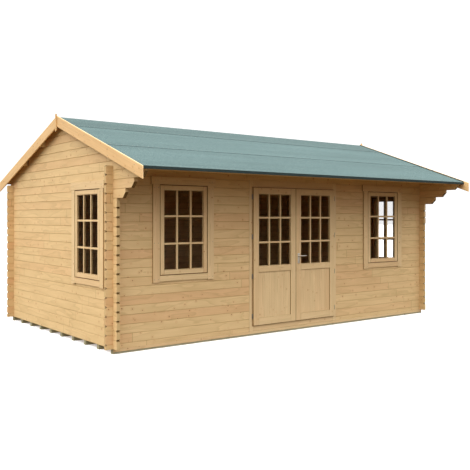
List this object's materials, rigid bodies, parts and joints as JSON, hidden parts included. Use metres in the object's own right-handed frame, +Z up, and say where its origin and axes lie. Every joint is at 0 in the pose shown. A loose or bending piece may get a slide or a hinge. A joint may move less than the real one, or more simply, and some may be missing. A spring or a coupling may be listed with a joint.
{
  "type": "log cabin",
  "caption": "Wooden log cabin with a felted gable roof, a front canopy on stepped logs, a glazed double door and tall barred windows.",
  "frame": {"origin": "middle of the footprint of the whole cabin, under the ridge, at the underside of the ground bearers", "axes": "+X along the ridge to the right as seen from the front, -Y towards the door side, +Z up"},
  "size_m": [6.162, 4.702, 3.078],
  "materials": {
    "wall_logs": "planed spruce logs, clear stained, with knots",
    "window_wood": "planed spruce boards and sash bars",
    "door_wood": "planed spruce frame and leaves",
    "barge_wood": "planed spruce boards",
    "roof_wood": "rough sawn boards and purlins in shade",
    "floor_wood": "planed floor boards",
    "bearer_wood": "pressure treated bearers, grey green",
    "roof_felt": "green mineral felt",
    "pane_glass": "clear float glass",
    "hinge_steel": "zinc plated steel",
    "handle_steel": "satin steel"
  },
  "bodies": {
    "cabin": {"floor_bearers": "bearer_wood", "floor_boards": "floor_wood", "front_wall_left": "wall_logs", "front_wall_right": "wall_logs", "front_wall_over_door": "wall_logs", "back_wall": "wall_logs", "left_gable_wall": "wall_logs", "right_gable_wall": "wall_logs", "ridge_purlin": "roof_wood", "front_purlins": "roof_wood", "back_purlins": "roof_wood", "front_roof_boards": "roof_wood", "back_roof_boards": "roof_wood", "front_felt": "roof_felt", "back_felt": "roof_felt", "ridge_felt_strip": "roof_felt", "left_front_bargeboard": "barge_wood", "left_back_bargeboard": "barge_wood", "right_front_bargeboard": "barge_wood", "right_back_bargeboard": "barge_wood", "gable_finials": "barge_wood", "front_left_window_frame": "window_wood", "front_left_window_sash": "window_wood", "front_left_window_glass": "pane_glass", "front_right_window_frame": "window_wood", "front_right_window_sash": "window_wood", "front_right_window_glass": "pane_glass", "left_gable_window_frame": "window_wood", "left_gable_window_sash": "window_wood", "left_gable_window_glass": "pane_glass", "right_gable_window_frame": "window_wood", "right_gable_window_sash": "window_wood", "right_gable_window_glass": "pane_glass", "door_frame": "door_wood", "frame_hinge_pins": "hinge_steel"},
    "left_leaf": {"left_door": "door_wood", "left_door_panel": "door_wood", "left_door_glass": "pane_glass", "left_door_knuckles": "hinge_steel"},
    "right_leaf": {"right_door": "door_wood", "right_door_panel": "door_wood", "right_door_glass": "pane_glass", "right_door_knuckles": "hinge_steel", "handle_plates": "handle_steel"},
    "lever": {"lever_handle": "handle_steel"}
  },
  "joints": [
    {"name": "left_door_hinge", "type": "hinge", "parent": "cabin", "child": "left_leaf", "pos_m": [-0.8105, -1.483, 1.107], "axis": [0, 0, -1], "range_deg": [0, 110]},
    {"name": "right_door_hinge", "type": "hinge", "parent": "cabin", "child": "right_leaf", "pos_m": [0.8105, -1.483, 1.107], "axis": [0, 0, 1], "range_deg": [0, 110]},
    {"name": "lever_turn", "type": "hinge", "parent": "right_leaf", "child": "lever", "pos_m": [0.0525, -1.475, 1.091], "axis": [0, 1, 0], "range_deg": [0, 40], "stiffness_Nm_per_rad": 1.5, "springref_deg": -28.65}
  ]
}
